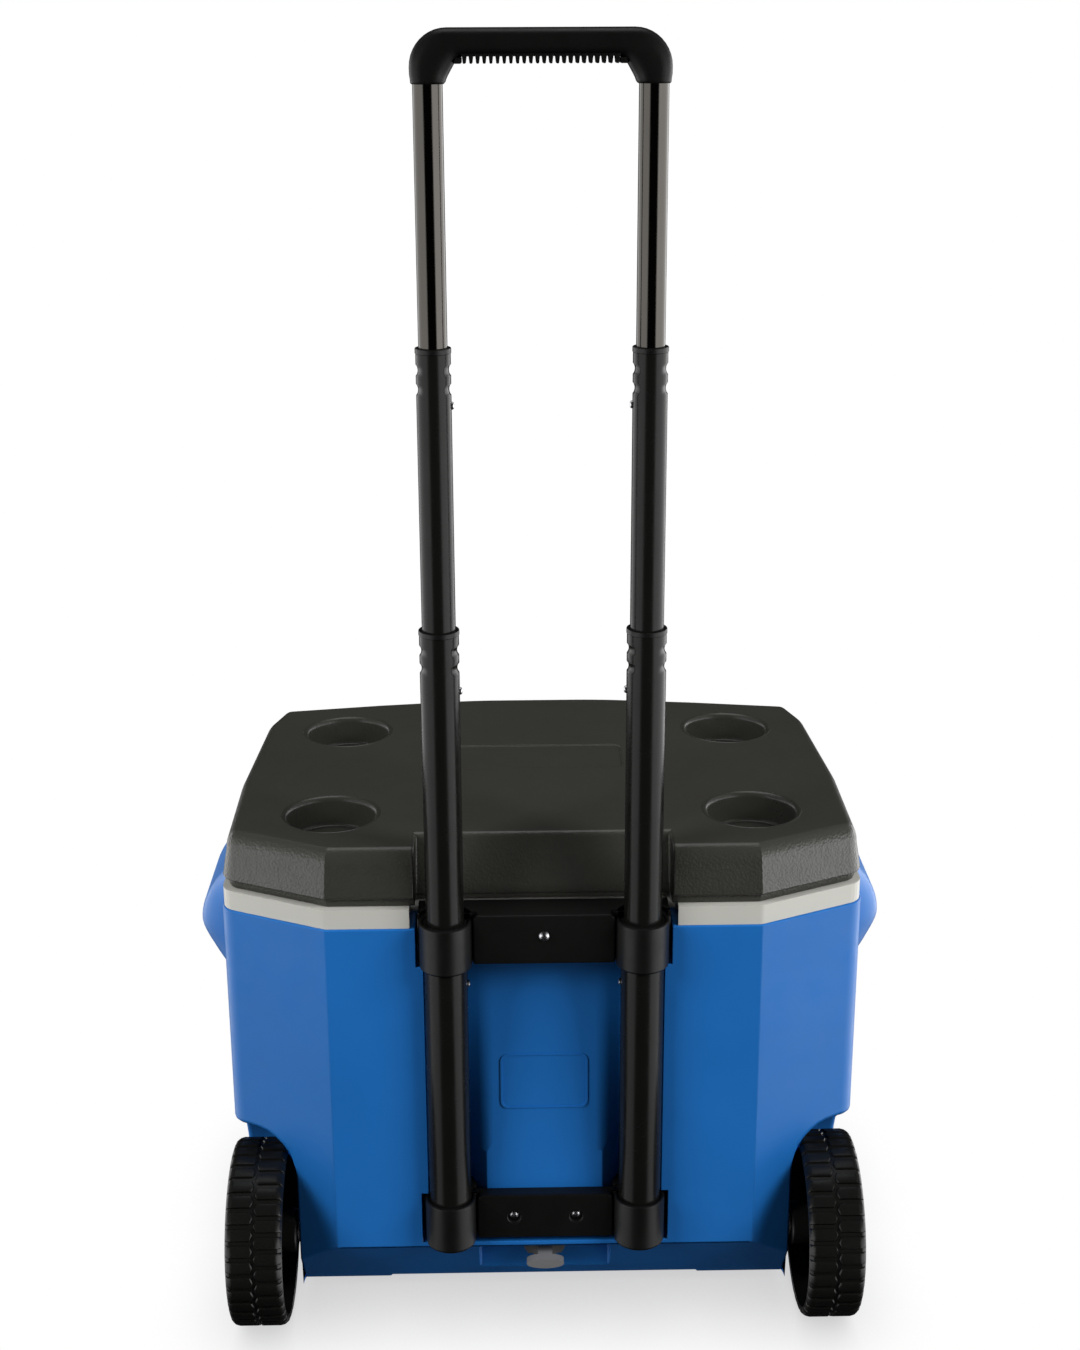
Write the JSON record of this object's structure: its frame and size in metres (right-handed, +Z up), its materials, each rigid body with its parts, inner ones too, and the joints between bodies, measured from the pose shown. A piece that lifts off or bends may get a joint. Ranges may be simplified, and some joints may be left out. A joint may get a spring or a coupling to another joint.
{
  "type": "cooler on wheels",
  "caption": "Insulated cooler box on two rear wheels with a telescoping pull handle, hinged lid with can holders, side carry handles and a drain plug.",
  "frame": {"origin": "centre of the footprint's bounding box, on the floor the wheels and front feet stand on", "axes": "+Z up; X across the cooler; the side with the pull handle and the wheels faces -Y and the lid's hinge is at +Y"},
  "size_m": [0.582, 0.425, 1.0437],
  "materials": {
    "body_blue": "satin",
    "liner_white": "satin",
    "foam": "matte",
    "lid_charcoal": "matte",
    "drain_grey": "satin",
    "seal_rubber": "matte",
    "tube_black": "gloss",
    "moulded_black": "satin",
    "wheel_black": "satin",
    "bush_nylon": "satin",
    "hinge_charcoal": "matte",
    "rivet_black": "satin",
    "bright_steel": "polished"
  },
  "bodies": {
    "body": {"body_shell": "body_blue", "body_insulation": "foam", "inner_liner": "liner_white", "drain_spout": "drain_grey", "drain_nut": "drain_grey", "drain_washer": "seal_rubber", "upper_bracket": "moulded_black", "lower_bracket": "moulded_black", "upper_bracket_screw": "bright_steel", "lower_bracket_screws": "bright_steel", "outer_tube_left": "tube_black", "outer_tube_right": "tube_black", "outer_tube_bushes": "moulded_black", "axle_left": "bright_steel", "axle_right": "bright_steel", "axle_washers": "bright_steel", "axle_caps": "bright_steel", "hinge_base": "hinge_charcoal", "hinge_pin": "bright_steel", "hinge_screws": "bright_steel"},
    "stage_1": {"stage_1_tube_left": "tube_black", "stage_1_tube_right": "tube_black", "stage_1_collars": "moulded_black", "stage_1_end_plugs": "moulded_black", "stage_1_lock_left": "bright_steel", "stage_1_lock_right": "bright_steel"},
    "stage_2": {"stage_2_tube_left": "tube_black", "stage_2_tube_right": "tube_black", "stage_2_collars": "moulded_black", "stage_2_end_plugs": "moulded_black", "stage_2_lock_left": "bright_steel", "stage_2_lock_right": "bright_steel"},
    "stage_3": {"stage_3_tube_left": "tube_black", "stage_3_tube_right": "tube_black", "stage_3_end_plugs": "moulded_black", "stage_3_lock_left": "bright_steel", "stage_3_lock_right": "bright_steel", "grip": "moulded_black", "grip_screws": "rivet_black"},
    "wheel_left": {"wheel_left": "wheel_black", "wheel_bush_left": "bush_nylon"},
    "wheel_right": {"wheel_right": "wheel_black", "wheel_bush_right": "bush_nylon"},
    "lid": {"lid_shell": "lid_charcoal", "lid_insulation": "foam", "lid_liner": "liner_white"},
    "drain_plug": {"drain_plug": "drain_grey", "drain_plug_ring": "seal_rubber"}
  },
  "joints": [
    {"name": "stage_1_slide", "type": "slide", "parent": "body", "child": "stage_1", "axis": [0, 0, -1], "range_m": [0, 0.215], "deforming": ["stage_1_lock_left", "stage_1_lock_right", "stage_2_lock_left", "stage_2_lock_right"]},
    {"name": "stage_2_slide", "type": "slide", "parent": "stage_1", "child": "stage_2", "axis": [0, 0, -1], "range_m": [0, 0.204], "deforming": ["stage_2_lock_left", "stage_2_lock_right", "stage_3_lock_left", "stage_3_lock_right"]},
    {"name": "stage_3_slide", "type": "slide", "parent": "stage_2", "child": "stage_3", "axis": [0, 0, -1], "range_m": [0, 0.178], "deforming": ["stage_3_lock_left", "stage_3_lock_right"]},
    {"name": "wheel_left_spin", "type": "hinge", "parent": "body", "child": "wheel_left", "pos_m": [-0.2378, -0.1355, 0.077], "axis": [1, 0, 0], "continuous": true},
    {"name": "wheel_right_spin", "type": "hinge", "parent": "body", "child": "wheel_right", "pos_m": [0.2378, -0.1355, 0.077], "axis": [1, 0, 0], "continuous": true},
    {"name": "lid_hinge", "type": "hinge", "parent": "body", "child": "lid", "pos_m": [0, 0.2035, 0.3773], "axis": [-1, 0, 0], "range_deg": [0, 100]},
    {"name": "drain_plug_pull", "type": "slide", "parent": "body", "child": "drain_plug", "axis": [0, -1, 0], "range_m": [0, 0.03]}
  ]
}
